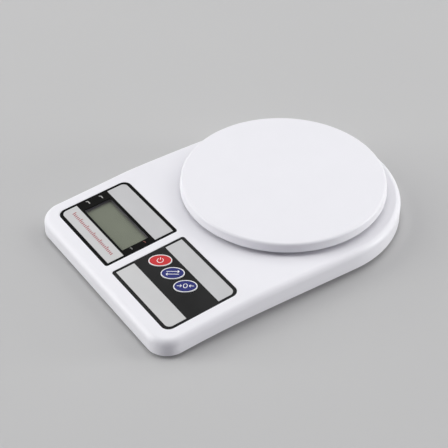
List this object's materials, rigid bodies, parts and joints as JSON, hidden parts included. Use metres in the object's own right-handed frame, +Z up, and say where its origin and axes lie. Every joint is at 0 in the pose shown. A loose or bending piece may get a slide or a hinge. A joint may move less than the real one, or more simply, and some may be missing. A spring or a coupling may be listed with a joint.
{
  "type": "digital kitchen scale",
  "caption": "Battery kitchen scale with a sloped key panel, a display window and a round weighing plate over a load cell.",
  "frame": {"origin": "middle of the bounding box's bottom face, on the surface that the feet stand on", "axes": "+X to the user's right, -Y towards the user at the display and keys, +Z up"},
  "size_m": [0.1666, 0.2396, 0.0306],
  "materials": {
    "white_shell": "satin moulded white",
    "tray_plastic": "fine matt moulded white",
    "inner_plastic": "matt moulded white",
    "black_film": "smooth printed black",
    "silver_film": "fine printed silver",
    "clear_window": "clear polished",
    "display_glass": "grey green behind a polariser",
    "red_key": "gloss red",
    "blue_key": "gloss dark blue",
    "green_board": "green solder mask",
    "black_resin": "smooth black resin",
    "grey_rubber": "matt grey",
    "dark_rubber": "matt dark grey",
    "aluminium": "milled",
    "steel": "bright zinc",
    "cell_wrapper": "printed wrapper"
  },
  "bodies": {
    "housing": {"upper_housing": "white_shell", "lower_housing": "tray_plastic", "load_cell": "aluminium", "cell_spacer": "steel", "gauge_seal": "grey_rubber", "cell_lead": "dark_rubber", "display_overlay": "black_film", "display_strip_front": "silver_film", "display_strip_rear": "silver_film", "key_overlay": "black_film", "key_strip_front": "silver_film", "key_strip_rear": "silver_film", "display_window": "clear_window", "display_bezel": "black_film", "display_glass": "display_glass", "display_connector": "dark_rubber", "main_board": "green_board", "sealed_chip": "black_resin", "contact_bridge": "steel", "contact_negative": "steel", "contact_positive": "steel", "cell_screw_1": "steel", "battery_cell_1": "cell_wrapper", "cell_screw_2": "steel", "battery_cell_2": "cell_wrapper", "board_screw_1": "steel", "foot_1": "grey_rubber", "board_screw_2": "steel", "foot_2": "grey_rubber", "board_screw_3": "steel", "foot_3": "grey_rubber", "board_screw_4": "steel", "foot_4": "grey_rubber", "housing_screw_1": "steel", "housing_screw_2": "steel", "housing_screw_3": "steel", "housing_screw_4": "steel", "housing_screw_5": "steel", "housing_screw_6": "steel", "power_switch": "black_resin", "unit_switch": "black_resin", "tare_switch": "black_resin"},
    "weighing_plate": {"weighing_plate": "white_shell"},
    "plate_carrier": {"plate_carrier": "inner_plastic", "carrier_screw_1": "steel", "carrier_screw_2": "steel"},
    "battery_cover": {"battery_cover": "tray_plastic"},
    "power_key": {"power_button": "red_key", "power_button_ring": "inner_plastic", "power_switch_plunger": "inner_plastic"},
    "unit_key": {"unit_button": "blue_key", "unit_button_ring": "inner_plastic", "unit_switch_plunger": "inner_plastic"},
    "tare_key": {"tare_button": "blue_key", "tare_button_ring": "inner_plastic", "tare_switch_plunger": "inner_plastic"}
  },
  "joints": [
    {"name": "load_travel", "type": "slide", "parent": "housing", "child": "plate_carrier", "axis": [0, 0, 1], "range_m": [-0.00025, 0], "stiffness_N_per_m": 200000, "springref_m": 0.00001},
    {"name": "plate_lift", "type": "slide", "parent": "plate_carrier", "child": "weighing_plate", "axis": [0, 0, 1], "range_m": [0, 0.03]},
    {"name": "battery_cover_hinge", "type": "hinge", "parent": "housing", "child": "battery_cover", "pos_m": [0, -0.0387, 0.002], "axis": [-1, 0, 0], "range_deg": [0, 60]},
    {"name": "power_press", "type": "slide", "parent": "housing", "child": "power_key", "axis": [0, -0.0737, 0.9973], "range_m": [-0.0005, 0], "stiffness_N_per_m": 3000, "springref_m": 0.0001},
    {"name": "unit_press", "type": "slide", "parent": "housing", "child": "unit_key", "axis": [0, -0.0737, 0.9973], "range_m": [-0.0005, 0], "stiffness_N_per_m": 3000, "springref_m": 0.0001},
    {"name": "tare_press", "type": "slide", "parent": "housing", "child": "tare_key", "axis": [0, -0.0737, 0.9973], "range_m": [-0.0005, 0], "stiffness_N_per_m": 3000, "springref_m": 0.0001}
  ]
}
